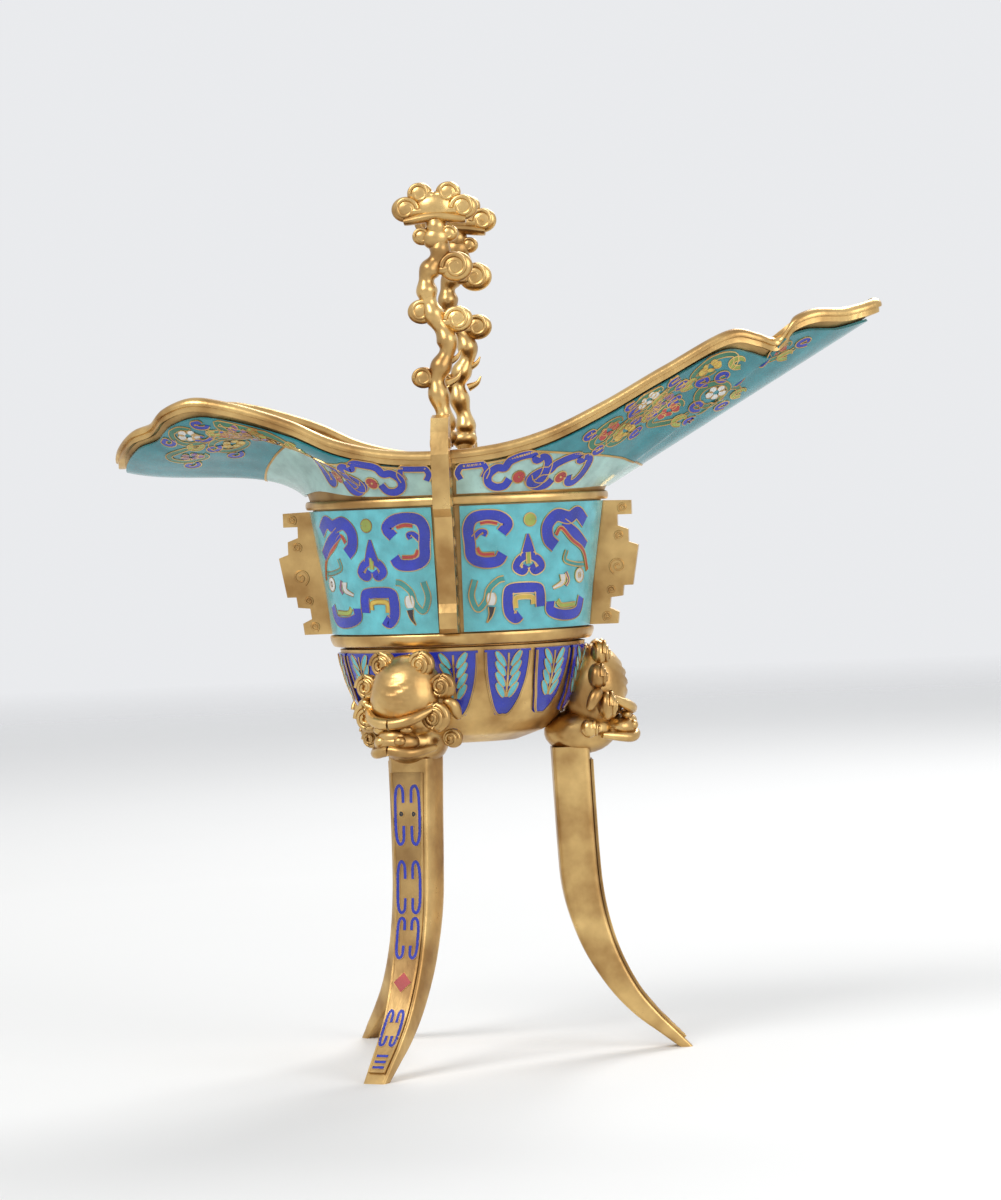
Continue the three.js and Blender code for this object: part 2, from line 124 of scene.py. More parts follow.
world.node_tree.links.new(either.outputs[0], power.inputs["Value"])
world.node_tree.links.new(power.outputs[0], sky.inputs["Strength"])

# %% [markdown]
# Shader maths is easier to read as sums than as wires. A small class wraps a socket, so that an expression adds
# its Math nodes by itself. Any other node comes from one method.

# %% Shader helper
class Shade:
    def __init__(self, tree, socket=None):
        self.tree = tree
        self.socket = socket

    def wrap(self, socket):
        return Shade(self.tree, socket)

    def node(self, kind, settings=None, out=0, **inputs):
        made = self.tree.nodes.new(kind)
        for key, value in (settings or {}).items():
            setattr(made, key, value)
        for key, value in inputs.items():
            sockets = [s for s in made.inputs if s.name.replace(" ", "_") == key and s.enabled]
            socket = sockets[0] if sockets else made.inputs[int(key[1:])]
            if isinstance(value, Shade):
                self.tree.links.new(value.socket, socket)
            else:
                socket.default_value = value
        return self.wrap(made.outputs[out])

    def math(self, operation, *values):
        return self.node("ShaderNodeMath", {"operation": operation}, **{f"_{i}": v for i, v in enumerate(values)})

    def __add__(self, other):
        return self.math("ADD", self, other)

    def __mul__(self, other):
        return self.math("MULTIPLY", self, other)

    def __sub__(self, other):
        return self.math("SUBTRACT", self, other)

    def __rsub__(self, other):
        return self.math("SUBTRACT", other, self)

    __radd__ = __add__
    __rmul__ = __mul__

    def above(self, low, high):
        return self.math("SUBTRACT", self, low).math_clamp(1 / (high - low))

    def math_clamp(self, scale):
        made = self.math("MULTIPLY", self, scale)
        made.socket.node.use_clamp = True
        return made

    def mix(self, first, second):
        return self.node("ShaderNodeMix", {"data_type": "RGBA"}, out=2, _0=self, _6=first, _7=second)


def material(name, paint):
    made = bpy.data.materials.new(name)
    made.use_nodes = True
    tree = made.node_tree
    tree.nodes.clear()
    shade = Shade(tree)
    shader = tree.nodes.new("ShaderNodeBsdfPrincipled")
    output = tree.nodes.new("ShaderNodeOutputMaterial")
    tree.links.new(shader.outputs[0], output.inputs[0])
    for key, value in paint(shade).items():
        socket = shader.inputs[key]
        if isinstance(value, Shade):
            tree.links.new(value.socket, socket)
        else:
            socket.default_value = value
    return made


# %% [markdown]
# Fire gilding is soft and uneven: bright where hands have rubbed it, redder and duller in the hollows, with fine
# scratches. Noise at three scales gives the cloudiness, the grain and the scratches.

# %% Gilding
def noise(shade, scale, detail=4, stretch=(1, 1, 1)):
    place = shade.node("ShaderNodeTexCoord", out=3)
    turned = shade.node("ShaderNodeMapping", _0=place, Scale=stretch)
    return shade.node("ShaderNodeTexNoise", Vector=turned, Scale=scale, Detail=detail)


def gilding(light, dark, rough):
    def paint(shade):
        cloud = noise(shade, 90).above(0.35, 0.7)
        grain = noise(shade, 900, 3)
        scratch = noise(shade, 700, 3, (1, 1, 0.06)).above(0.45, 0.75)
        bump = shade.node("ShaderNodeBump", Strength=0.16, Distance=0.0002, Height=grain + 0.6 * scratch)
        return {
            "Base Color": cloud.mix((*dark, 1), (*light, 1)),
            "Metallic": 1.0,
            "Roughness": 0.12 * grain + (rough - 0.08 * cloud),
            "Normal": bump,
        }

    return paint


gilt = material("gilt_bronze", gilding((0.76, 0.52, 0.21), (0.36, 0.20, 0.07), 0.30))
dull_gilt = material("gilt_inside", gilding((0.56, 0.37, 0.15), (0.26, 0.15, 0.06), 0.42))
print("gilding made")

# %% [markdown]
# Enamel is glass powder fused in cells and ground flat. The colour is cloudy and has tiny pits, and the polish
# puts a clear gloss over it, which is the shader's coat.

# %% Enamels
def enamel(colour):
    deep = tuple(c * 0.62 for c in colour)

    def paint(shade):
        cloud = noise(shade, 260, 5).above(0.3, 0.75)
        pits = noise(shade, 2400, 2).above(0.66, 0.74)
        bump = shade.node("ShaderNodeBump", Strength=0.25, Distance=0.0001, Height=1 - pits)
        return {
            "Base Color": (cloud * (1 - 0.6 * pits)).mix((*deep, 1), (*colour, 1)),
            "Roughness": 0.26 + 0.3 * pits,
            "Coat Weight": 0.5,
            "Coat Roughness": 0.12,
            "Normal": bump,
        }

    return paint


ENAMELS = {
    "turquoise": (0.13, 0.56, 0.62),
    # The lips' turquoise at half brightness: painted shade, not a second enamel colour.
    "teal": (0.035, 0.27, 0.31),
    "mint": (0.42, 0.66, 0.60),
    "cobalt": (0.012, 0.030, 0.46),
    "red": (0.48, 0.035, 0.03),
    "yellow": (0.72, 0.50, 0.07),
    "olive": (0.38, 0.46, 0.07),
    "sea": (0.04, 0.32, 0.30),
    "green": (0.03, 0.20, 0.11),
    "white": (0.78, 0.78, 0.74),
    "purple": (0.24, 0.10, 0.30),
    "black": (0.012, 0.012, 0.02),
}
finish = {name: material("enamel_" + name, enamel(colour)) for name, colour in ENAMELS.items()}
print("enamels", len(finish))

# %% [markdown]
# Every new piece is a grid of points worked out at once. One function joins the grid into faces: closed the short
# way round, and either closed or capped the long way.

# %% Mesh from a grid
def piece(name, grids, paint, nodes=(), closed=False):
    """Joins each grid [i, j] of points in mm to a shell. j always closes on itself; i closes, or is capped."""
    points, quads, caps, count = [], [], [], 0
    for grid in grids:
        n, m = grid.shape[:2]
        points.append(grid.reshape(-1, 3))
        i = np.arange(n if closed else n - 1)[:, None]
        j = np.arange(m)[None, :]
        a = i * m + j
        b = i * m + (j + 1) % m
        step = (i + 1) % n * m - i * m
        quads.append(np.stack([a, b, b + step, a + step], -1).reshape(-1, 4) + count)
        if not closed:
            caps += [list(range(count + m - 1, count - 1, -1)), list(range(count + (n - 1) * m, count + n * m))]
        count += n * m
    points = np.concatenate(points) * MM
    faces = np.concatenate(quads).tolist() + caps
    mesh = bpy.data.meshes.new(name)
    mesh.from_pydata(points.tolist(), [], faces)
    mesh.update()
    import bmesh
    work = bmesh.new()
    work.from_mesh(mesh)
    bmesh.ops.recalc_face_normals(work, faces=work.faces)
    work.to_mesh(mesh)
    work.free()
    mesh.polygons.foreach_set("use_smooth", np.ones(len(mesh.polygons), bool))
    mesh.set_sharp_from_angle(angle=np.radians(50))
    mesh.materials.append(paint)
    obj = bpy.data.objects.new(name, mesh)
    bpy.context.scene.collection.objects.link(obj)
    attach(obj, "root")
    if nodes:
        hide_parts(*nodes)
    return obj


def unit(v):
    return v / np.maximum(np.linalg.norm(v, axis=-1, keepdims=True), 1e-9)


# %% [markdown]
# The cup's surface follows two rules. The belly is an oval that widens upwards. Above it, straight rays run out
# from the neck oval to the rim's line, steep and then flat under the spout.

# %% Surfaces of the cup
OVAL = 0.82
SEAM_Z, NECK_Z, BAND_H, GAP, ENAMEL_T, WALL = 95.1, 127.0, 2.0, 0.3, 0.6, 1.8
NECK_R = 34.1
MOULDING_H, MOULDING_W = 3.2, 3.8
BELLY_Z = [95.1, 98.2, 107.5, 114.4, 127.0]
BELLY_R = [28.9, 29.9, 31.0, 32.1, 34.1]
RIM = np.array([
    [98.7, 0, 170.3], [91.5, 6.5, 168.3], [84, 12, 168], [79, 14, 166], [75.5, 13.6, 162],
    [71.5, 17, 163], [66, 19.4, 164], [50, 22.8, 156.3], [36.5, 25.4, 149], [23, 27.6, 143],
    [10, 29.2, 140], [-10, 29.8, 139.6], [-24, 29.2, 142.6], [-35, 28.4, 147.7], [-49, 27.4, 152.3],
    [-57, 26.4, 153.5], [-64, 23, 151.5], [-68, 17.6, 148.4], [-72.5, 14.6, 147], [-76.6, 8, 144],
    [-78.3, 0, 141.5],
])


def closed_curve(points, count=2400):
    """Centripetal Catmull-Rom curve through the points, closed, resampled at even steps of its length."""
    p = [np.roll(points, k, axis=0) for k in (1, 0, -1, -2)]
    knots = [np.zeros(len(points))]
    for a, b in zip(p, p[1:]):
        knots.append(knots[-1] + np.sqrt(np.linalg.norm(b - a, axis=1)))
    share = np.linspace(0, 1, 40, endpoint=False)[None, :, None]
    t = [k[:, None, None] for k in knots]
    now = t[1] + (t[2] - t[1]) * share
    q = [v[:, None, :] for v in p]

    def lerp(a, b, ta, tb):
        return a * (tb - now) / (tb - ta) + b * (now - ta) / (tb - ta)

    a = [lerp(q[k], q[k + 1], t[k], t[k + 1]) for k in range(3)]
    b = [lerp(a[0], a[1], t[0], t[2]), lerp(a[1], a[2], t[1], t[3])]
    line = lerp(b[0], b[1], t[1], t[2]).reshape(-1, 3)
    line = np.vstack([line, line[:1]])
    length = np.concatenate([[0], np.cumsum(np.linalg.norm(np.diff(line, axis=0), axis=1))])
    even = np.linspace(0, length[-1], count, endpoint=False)
    return np.stack([np.interp(even, length, line[:, k]) for k in range(3)], -1)


RIM_LINE = closed_curve(np.vstack([RIM, RIM[-2:0:-1] * [1, -1, 1]]))


def rim(u):
    """Point of the rim's top line at share u of its length, from the tail's point."""
    at = np.mod(u, 1) * len(RIM_LINE)
    k = np.floor(at).astype(int) % len(RIM_LINE)
    t = (at - np.floor(at))[..., None]
    return RIM_LINE[k] * (1 - t) + RIM_LINE[(k + 1) % len(RIM_LINE)] * t


def lip_bare(u, s):
    """Lip skin: a ray in plan from the neck oval to the rim, its height a blend of a line and a quick rise."""
    top = rim(u)
    angle = np.arctan2(top[..., 1] / (NECK_R * OVAL), top[..., 0] / NECK_R)
    base = np.stack([NECK_R * np.cos(angle), NECK_R * OVAL * np.sin(angle)], -1)
    t = np.clip((-top[..., 0] - 10) / 40, 0, 1)
    spout = t * t * (3 - 2 * t)
    rise = s * (1 - spout) + (0.72 * (1 - np.exp(-s / 0.14)) + 0.28 * s**6) * spout
    foot = NECK_Z + BAND_H + GAP
    z = foot + (top[..., 2] - MOULDING_H - GAP - foot) * rise
    plan = base + (top[..., :2] - base) * s[..., None]
    return np.concatenate([plan, z[..., None]], -1)


def lip(u, s, out=0.0):
    """Lip skin moved out along a normal taken over a wide step."""
    u, s = np.broadcast_arrays(np.asarray(u, float), np.asarray(s, float))
    along = lip_bare(u + 0.02, s) - lip_bare(u - 0.02, s)
    up = lip_bare(u, np.minimum(1, s + 0.12)) - lip_bare(u, np.maximum(0, s - 0.12))
    return lip_bare(u, s) + unit(np.cross(along, up)) * out + AXIS


def belly(angle, z, out=0.0):
    """Oval of the belly at height z, moved straight out."""
    angle, z = np.broadcast_arrays(np.asarray(angle, float), np.asarray(z, float))
    r = np.interp(z, BELLY_Z, BELLY_R)
    flat = [(r + out) * np.cos(angle), (r * OVAL + out) * np.sin(angle), z]
    return np.stack(flat, -1) + AXIS


print("rim points", len(RIM_LINE))

# %% [markdown]
# The cast wall of the cup shows inside the lips and between the fields. It is a closed sleeve: up the outside,
# over the edge and down the inside.

# %% Cup wall, moulding and bands
U = np.linspace(0, 1, 480, endpoint=False)
OUT = -ENAMEL_T - GAP


def wall_side(out):
    top = rim(U)
    angle = np.arctan2(top[:, 1] / (NECK_R * OVAL), top[:, 0] / NECK_R)[:, None]
    z = np.linspace(SEAM_Z + GAP, NECK_Z, 8)[None, :]
    s = np.linspace(0.02, 1, 26)[None, :]
    return np.concatenate([belly(angle, z, out), lip(U[:, None], s, out)], 1)


wall = np.concatenate([wall_side(OUT), wall_side(OUT - WALL)[:, ::-1]], 1)
piece("cup_wall_cast", [wall], dull_gilt, ["cup_wall"], closed=True)


def moulding(u):
    """Section of the rim moulding: a flat strip with a rounded bead, square to the rim in plan."""
    p = rim(u) + AXIS
    ahead = rim(u + 1e-3) - rim(u - 1e-3)
    out = unit(np.stack([ahead[:, 1], -ahead[:, 0], ahead[:, 0] * 0], -1))
    a = np.linspace(-0.25, np.pi + 0.25, 14)
    half = MOULDING_W / 2
    x = np.concatenate([[0.66 * half, 0.66 * half], half * np.cos(a), [-0.66 * half, -0.66 * half]])
    z = np.concatenate([[0, 0.36 * MOULDING_H], 0.52 * MOULDING_H + 0.48 * MOULDING_H * np.sin(a)])
    z = np.concatenate([z, [0.36 * MOULDING_H, 0]])
    shift = x - ENAMEL_T - WALL / 2
    up = np.array([0, 0, 1.0])
    return p[:, None] + out[:, None] * shift[None, :, None] + up * (z - MOULDING_H)[None, :, None]


piece("rim_bead", [moulding(U)], gilt, ["rim_moulding"], closed=True)


def band(name, z0, z1, node):
    """Ring with a rounded outer edge."""
    a = np.linspace(-np.pi / 2, np.pi / 2, 9)
    out = np.concatenate([[OUT + GAP], 0.8 * np.cos(a) ** 0.6, [OUT + GAP]])
    z = (z0 + z1) / 2 + (z1 - z0) / 2 * np.concatenate([[-1], np.sin(a), [1]])
    angle = U[:, None] * 2 * np.pi
    grid = belly(angle, np.minimum(z, NECK_Z)[None, :], out[None, :])
    grid[..., 2] = z[None, :]
    piece(name, [grid], gilt, [node], closed=True)


band("band_above_belly", NECK_Z, NECK_Z + BAND_H, "upper_band")
band("band_below_belly", SEAM_Z + GAP, SEAM_Z + 3, "lower_band")
print("cup wall done")

# %% [markdown]
# Cloisonne: gilt wires stand on the ground and fence the cells of colour. A motif is a path drawn on the surface
# and widened to a ribbon of enamel, with a wire along each edge. Flat drawings could be painted by a shader, but
# ribbons follow any path and keep the wires a true 0.3 mm wide.

# %% Ribbons on a surface
WIRE = 0.12
cells = {}


def strip(points, normals, side, half, lift):
    """Flat bar with four corners: half wide to each side, its top lifted off the surface."""
    half = np.broadcast_to(half, len(points))[:, None]
    left, right = points + side * half, points - side * half
    return np.stack([left - normals * 0.1, left + normals * lift, right + normals * lift, right - normals * 0.1], 1)


def ribbon(surface, path, half, colour, lift=0.10):
    """Enamel ribbon with two wires. path is (n, 2) in the surface's own parameters."""
    e = 1e-3
    a, b = path[:, 0], path[:, 1]
    p = surface(a, b)
    du = surface(a + e, b) - surface(a - e, b)
    dv = surface(a, b + e * 20) - surface(a, b - e * 20)
    normal = unit(np.cross(du, dv))
    side = unit(np.cross(normal, unit(np.gradient(p, axis=0))))
    half = np.broadcast_to(half, len(p)).astype(float)
    if colour:
        cells.setdefault(colour, []).append(strip(p, normal, side, half, lift))
    for sign in (1, -1):
        edge = p + side * (sign * half)[:, None]
        cells.setdefault("wire", []).append(strip(edge, normal, side, WIRE, lift + 0.06))


def arc(cx, cy, rx, ry, start, end, n=24):
    """Elliptic arc, in degrees."""
    a = np.radians(np.linspace(start, end, n))
    return np.stack([cx + rx * np.cos(a), cy + ry * np.sin(a)], -1)


def spiral(cx, cy, r0, r1, start, end, n=44):
    """Spiral from radius r0 to r1."""
    a = np.radians(np.linspace(start, end, n))
    r = np.linspace(r0, r1, n)
    return np.stack([cx + r * np.cos(a), cy + r * np.sin(a)], -1)


def smooth(points, n=40):
    """Smooth path through a few points, by Catmull-Rom segments."""
    p = np.array(points, float)
    q = np.vstack([2 * p[0] - p[1], p, 2 * p[-1] - p[-2]])
    t = np.linspace(0, len(p) - 1 - 1e-6, n)
    k = t.astype(int)
    f = (t - k)[:, None]
    a, b, c, d = q[k], q[k + 1], q[k + 2], q[k + 3]
    return 0.5 * (2 * b + (c - a) * f + (2 * a - 5 * b + 4 * c - d) * f**2 + (3 * b - 3 * c + d - a) * f**3)


def taper(n, wide, ends=0.25):
    return wide * (ends + (1 - ends) * np.sin(np.linspace(0, np.pi, n)) ** 0.6)


print("ribbon tools ready")

# %% [markdown]
# The belly's four fields are turquoise and carry the halves of an animal mask in cobalt. The motifs are drawn as
# seen from the front, in millimetres from the strap and in height, and then laid on the oval.

# %% Belly fields
FIELDS = {"tail_back": (1, 1), "spout_back": (-1, 1), "spout_front": (-1, -1), "tail_front": (1, -1)}
SIDE = 2.4


def plate(name, surface, u0, u1, v0, v1, paint, slot, node, nu=60, nv=24):
    """Thin closed plate on a surface between four edges."""
    u = np.linspace(u0, u1, nu)[:, None]
    v = np.linspace(v0, v1, nv)[None, :]
    grid = np.concatenate([surface(u, v, 0.0), surface(u, v, -ENAMEL_T)[:, ::-1]], 1)
    piece(name, [grid], paint, node)


def belly_front(sx, sy):
    """Surface in (distance from the strap as seen from the front, height) for one quarter."""
    def at(x, z):
        r = np.interp(z, BELLY_Z, BELLY_R)
        share = np.clip(x / r, -0.999, 0.999)
        y = OVAL * r * np.sqrt(1 - share**2)
        return np.stack([sx * x, sy * y, z], -1) + AXIS
    return at


MASK_RIBBONS = [
    (smooth([(12.2, 120.4), (13.6, 122.4), (11.4, 124.2), (6.8, 124.2), (5.0, 122), (5.1, 118.2), (5.4, 115.2),
             (7.8, 113.9), (11, 114.1), (12.2, 115.7)], 70), 1.3, "cobalt"),
    (smooth([(6, 119.4), (7.4, 120.8), (8.6, 120.7), (8.2, 119.8)]), 0.6, "cobalt"),
    (smooth([(7.6, 122.7), (9.4, 122.9), (11.4, 122.5)]), 0.42, "red"),
    (smooth([(6.6, 117.2), (7.6, 115.8), (10.4, 115.7)]), 0.42, "red"),
    (arc(18.5, 123.1, 0.65, 0.75, 0, 360), 0.75, "olive"),
    (smooth([(17.8, 119.9), (17.8, 117.6), (17.7, 115)]), np.linspace(0.3, 1.9, 40), "cobalt"),
    (smooth([(17, 115), (15.6, 114), (15, 112.4), (16.4, 111.5), (17.2, 112.8)]), 0.95, "cobalt"),
    (smooth([(18.4, 115), (19.8, 114), (20.4, 112.4), (19, 111.5), (18.2, 112.8)]), 0.95, "cobalt"),
    (smooth([(17.7, 115.8), (17.7, 114.4), (17.7, 113.2)]), 0.5, "olive"),
    (smooth([(19.8, 103.4), (19.8, 106.6), (18.9, 107.7), (13.9, 107.7), (12.9, 106.3), (12.9, 102.6), (14.2, 101),
             (15.3, 101.8)], 60), 1.25, "cobalt"),
    (smooth([(14.4, 103.3), (14.5, 105.4), (16.2, 105.8), (18.1, 105.5), (18.2, 104)]), 0.5, "yellow"),
    (smooth([(5.8, 110), (4.9, 106.4), (6.1, 103.4), (8, 105.2), (8.8, 107.8), (10.8, 109.7), (12.2, 110.1)]),
     0.65, "sea"),
    (smooth([(9.3, 107), (9.2, 105.6), (9.1, 104.2)]), taper(40, 1.1, 0.5), "white"),
    (smooth([(9.2, 103.8), (8.9, 102), (8, 100.3)]), np.linspace(0.8, 0.1, 40), "black"),
    (smooth([(23.6, 116.8), (22.2, 118.6), (22.2, 121.6), (24.2, 123.8), (26.8, 123.2), (28.6, 124.2), (30, 122)]),
     1.5, "cobalt"),
    (smooth([(25.4, 121.8), (28, 119.4), (29.8, 116.4)]), 1.3, "cobalt"),
    (smooth([(23.8, 119.4), (25, 120.9), (27, 118.2), (29.2, 115.6), (29.8, 111)]), 0.42, "red"),
    (smooth([(25.9, 115.8), (25.4, 113.6), (27.4, 112.6), (29.2, 112.4)]), 0.45, "sea"),
    (arc(28.2, 110, 0.45, 0.9, 0, 360), 0.75, "white"),
    (smooth([(28.2, 110.7), (28.2, 109.4)]), taper(40, 0.45, 0.3), "black"),
    (smooth([(24.8, 110.4), (24.6, 108.6), (22.6, 107.4)]), np.linspace(0.3, 0.9, 40)[::-1], "white"),
    (smooth([(25.5, 110.8), (25.9, 109), (25.3, 107.8)]), 0.3, "purple"),
    (smooth([(21.9, 104.4), (21.9, 102.3), (24.6, 101.2), (27.3, 101.8), (28.3, 105)]), 1.25, "cobalt"),
    (smooth([(23.4, 104.5), (24.2, 103.4), (27, 103.5)]), 0.5, "olive"),
]
for name, (sx, sy) in FIELDS.items():
    quarter = list(FIELDS).index(name)
    first = quarter * np.pi / 2 + (0.115 if quarter % 2 == 0 else 0.095)
    last = (quarter + 1) * np.pi / 2 - (0.095 if quarter % 2 == 0 else 0.115)
    plate("belly_ground_" + name, belly, first, last, SEAM_Z + 3.3, NECK_Z - GAP, finish["turquoise"],
          "turquoise_enamel", ["belly_enamel_" + name])
    for path, half, colour in MASK_RIBBONS:
        ribbon(belly_front(sx, sy), path, half, colour, 0.16 if colour == "cobalt" else 0.24)
print("belly motifs", sum(len(v) for v in cells.values()))

# %% [markdown]
# Under the lips the neck is pale mint with cobalt cloud heads, and beyond it the turquoise lips carry lotus
# scrolls. The lips' turquoise is painted at half brightness, as painted shade on the flaring lips. Each scroll is
# placed by its middle and drawn in millimetres, which the local stretch of the surface turns into the surface's
# own parameters.

# %% Lip fields
def share_at(x):
    u = np.linspace(0, 0.5, 4000)
    return float(np.interp(-x, -rim(u)[:, 0], u))


def local(u0, s0, path):
    """Path in mm about (u0, s0), turned into lip parameters by the length of the surface's two steps there."""
    e = 1e-3
    across = np.linalg.norm(lip(u0 + e, s0) - lip(u0 - e, s0)) / (2 * e)
    up = np.linalg.norm(lip(u0, s0 + e) - lip(u0, s0 - e)) / (2 * e)
    return np.stack([u0 + path[:, 0] / across, np.clip(s0 + path[:, 1] / up, 0.03, 0.93)], -1)


def neck_share(u, height):
    """Share s whose distance above the neck, along the lip, is the height in mm."""
    u = np.atleast_1d(np.asarray(u, float))
    rows = np.linspace(0, 1, 30)
    line = lip(u[:, None], rows[None, :])
    length = np.linalg.norm(np.diff(line, axis=1), axis=-1).sum(1)
    return np.minimum(height / length, 0.94)


NECK_H = 10.2
CLOUD = [(2.2, -1.4), (3.2, -3.0), (5.2, -3.2), (6.8, -1.8), (6.8, 0.6), (5.2, 2.2), (3.5, 1.9), (2.5, 3.4), (0, 4.0)]
CLOUD = CLOUD + [(-x, z) for x, z in CLOUD[-2::-1]]
tail_end, spout_start = share_at(2.9), share_at(-2.9)
for name, u0, u1 in (("tail", -tail_end, tail_end), ("spout", spout_start, 1 - spout_start)):
    # The lip ground takes the turquoise painted at half brightness, which is painted shade.
    for part, paint, count in (("neck", "mint", 10), ("lip", "teal", 30)):
        edge = np.linspace(u0, u1, 240)[:, None]
        split = neck_share(edge[:, 0], NECK_H)[:, None]
        foot, top = (0.02, split) if part == "neck" else (split + 0.003, 0.955)
        v = foot + (top - foot) * np.linspace(0, 1, count)[None, :]
        grid = np.concatenate([lip(edge, v, 0.0), lip(edge, v, -ENAMEL_T)[:, ::-1]], 1)
        piece(f"{name}_{part}_ground", [grid], finish[paint], [name + "_lip_enamel"])
    ribbon(lip, np.concatenate([edge, split], 1), 0.12, None)
for sign in (1, -1):
    for x in (18, 31.5, -18, -31.5):
        u0 = share_at(x) * sign
        s0 = neck_share(u0, 5.0)[0]
        ribbon(lip, local(u0, s0, smooth(CLOUD, 90)), 1.0, "cobalt", 0.16)
        ribbon(lip, local(u0, s0, arc(0, -1.2, 0.75, 0.75, 0, 360)), 0.75, "red", 0.16)
    for x in (6.6, -6.6):
        half_cloud = smooth([(-2.6, -1.4), (-3.2, 0.4), (-1.6, 2.2), (1.6, 2.2), (3.2, 0.4), (2.6, -1.4)])
        ribbon(lip, local(share_at(x) * sign, neck_share(share_at(x), 5.0)[0], half_cloud), 0.75, "cobalt", 0.16)
    along_rim = (41, 49, 57, 65, 73, 82, -42, -49, -56, -63, -70)
    vines = [(x, s0) for k, x in enumerate(along_rim) for s0 in ((0.55, 0.85) if k % 2 else (0.7,))]
    for k, (x, s0) in enumerate(vines):
        u0 = share_at(x) * sign
        way = 1 if k % 2 else -1
        ribbon(lip, local(u0, s0, spiral(0, 0, 5.2, 2.6, 0, way * 330)), taper(44, 0.75, 0.5), "green", 0.12)
        ribbon(lip, local(u0, s0, spiral(5.2, 2.2 * way, 0.6, 1.9, 40, 320)), 0.6, "olive", 0.14)
        for petal in range(5):
            a = np.radians(72 * petal + 90)
            leaf = np.stack([np.cos(a) * np.array([0.7, 2.3]), np.sin(a) * np.array([0.7, 2.3])], -1)
            tone = ("red", "yellow", "white", "purple")[k % 4]
            ribbon(lip, local(u0, s0, smooth(leaf, 8)), taper(8, 0.95, 0.5), tone, 0.18)
        for curl in (-1, 1):
            ribbon(lip, local(u0, s0, spiral(curl * 5.4, -2.4 * way, 0.5, 1.7, 0, 330)), 0.6, "cobalt", 0.16)
print("lip motifs", sum(len(v) for v in cells.values()))

# %% [markdown]
# The bowl is a gilt turned oval with fourteen leaves of enamel that point down. Each leaf has a midrib and veins.

# %% Bowl and lappets
BOWL_R = np.array([0, 12, 18.5, 22, 24.3, 25.7, 27.2, 28.4, 28.9])
BOWL_Z = np.array([71.5, 72.1, 74.3, 77.5, 80.9, 83.3, 87.3, 91.7, 95.1])
BOWL_T = np.concatenate([[0], np.cumsum(np.hypot(np.diff(BOWL_R), np.diff(BOWL_Z)))])
BOWL_T = BOWL_T / BOWL_T[-1]


def bowl(angle, t, out=0.0):
    """Oval bowl: t runs from the middle of the bottom to the seam, and out follows the profile's normal."""
    angle, t = np.broadcast_arrays(np.asarray(angle, float), np.asarray(t, float))
    r, z = np.interp(t, BOWL_T, BOWL_R), np.interp(t, BOWL_T, BOWL_Z)
    dr = np.interp(t + 0.04, BOWL_T, BOWL_R) - np.interp(t - 0.04, BOWL_T, BOWL_R)
    dz = np.interp(t + 0.04, BOWL_T, BOWL_Z) - np.interp(t - 0.04, BOWL_T, BOWL_Z)
    size = np.hypot(dr, dz)
    r = np.maximum(r + out * dz / size, 0.02)
    return np.stack([r * np.cos(angle), r * OVAL * np.sin(angle), z - out * dr / size], -1) + AXIS


angle = U[::3][:, None] * 2 * np.pi
t = np.linspace(0.0, 0.992, 40)[None, :]
shell = np.concatenate([bowl(angle, t, OUT + 0.25), bowl(angle, t, OUT - 2.2)[:, ::-1]], 1)
piece("bowl_cast", [shell], gilt, ["bowl"], closed=True)
LEAVES = 14
for k in range(LEAVES):
    centre = (k + 0.5) / LEAVES * 2 * np.pi
    pitch = 2 * np.pi / LEAVES

    def leaf(u, v, out=0.0, centre=centre, pitch=pitch):
        wide = 0.44 * np.sqrt(np.sin((0.05 + 0.45 * np.clip(v, 0, 1)) * np.pi))
        return bowl(centre + (2 * u - 1) * wide * pitch, 0.60 + 0.375 * v, out)

    tone = "cobalt" if k % 2 == 0 else "turquoise"
    plate(f"leaf_{k + 1:02d}", leaf, 0, 1, 0.0, 1.0, finish["cobalt"], tone + "_enamel", [f"lappet_{k + 1:02d}"], 12, 20)
    ribbon(leaf, smooth([(0.5, 0.3), (0.5, 0.95)], 12), 0.1, None)
    for v in (0.34, 0.5, 0.66, 0.8):
        for side in (-1, 1):
            vein = smooth([(0.5 + 0.07 * side, v - 0.04), (0.5 + 0.17 * side, v + 0.07), (0.5 + 0.27 * side, v + 0.18)], 12)
            ribbon(leaf, vein, taper(12, 0.72, 0.3), "turquoise", 0.16)
    rim_path = smooth([(0.02, 0.97), (0.02, 0.4), (0.1, 0.04), (0.5, 0.0), (0.9, 0.04), (0.98, 0.4), (0.98, 0.97)], 40)
    ribbon(leaf, rim_path, 0.16, None)
print("leaves", LEAVES)

# %% [markdown]
# The legs are cast blades that sweep outwards. Each is a section with rounded corners carried down the blade.

# %% Legs
LEG = np.array([
    [70.4, 19.4, 28.2, 10], [59, 19.7, 28.5, 9.4], [47, 20.1, 28.9, 9], [38, 20.7, 29.5, 8.7], [30, 22.6, 30.9, 8.3],
    [22, 25.8, 33.4, 7.8], [14, 30.8, 37.4, 7.2], [8, 36.2, 42, 6.6], [3.4, 42, 46.3, 6], [0, 46.4, 49.4, 5.5],
])
levels = smooth(LEG, 90)
LEG_TURNS = {"tail": 7, "back": 127, "front": 247}


def turned(points, degrees):
    a = np.radians(degrees)
    x, y = points[..., 0], points[..., 1]
    flat = [x * np.cos(a) - y * np.sin(a), x * np.sin(a) + y * np.cos(a), points[..., 2]]
    return np.stack(flat, -1) + AXIS


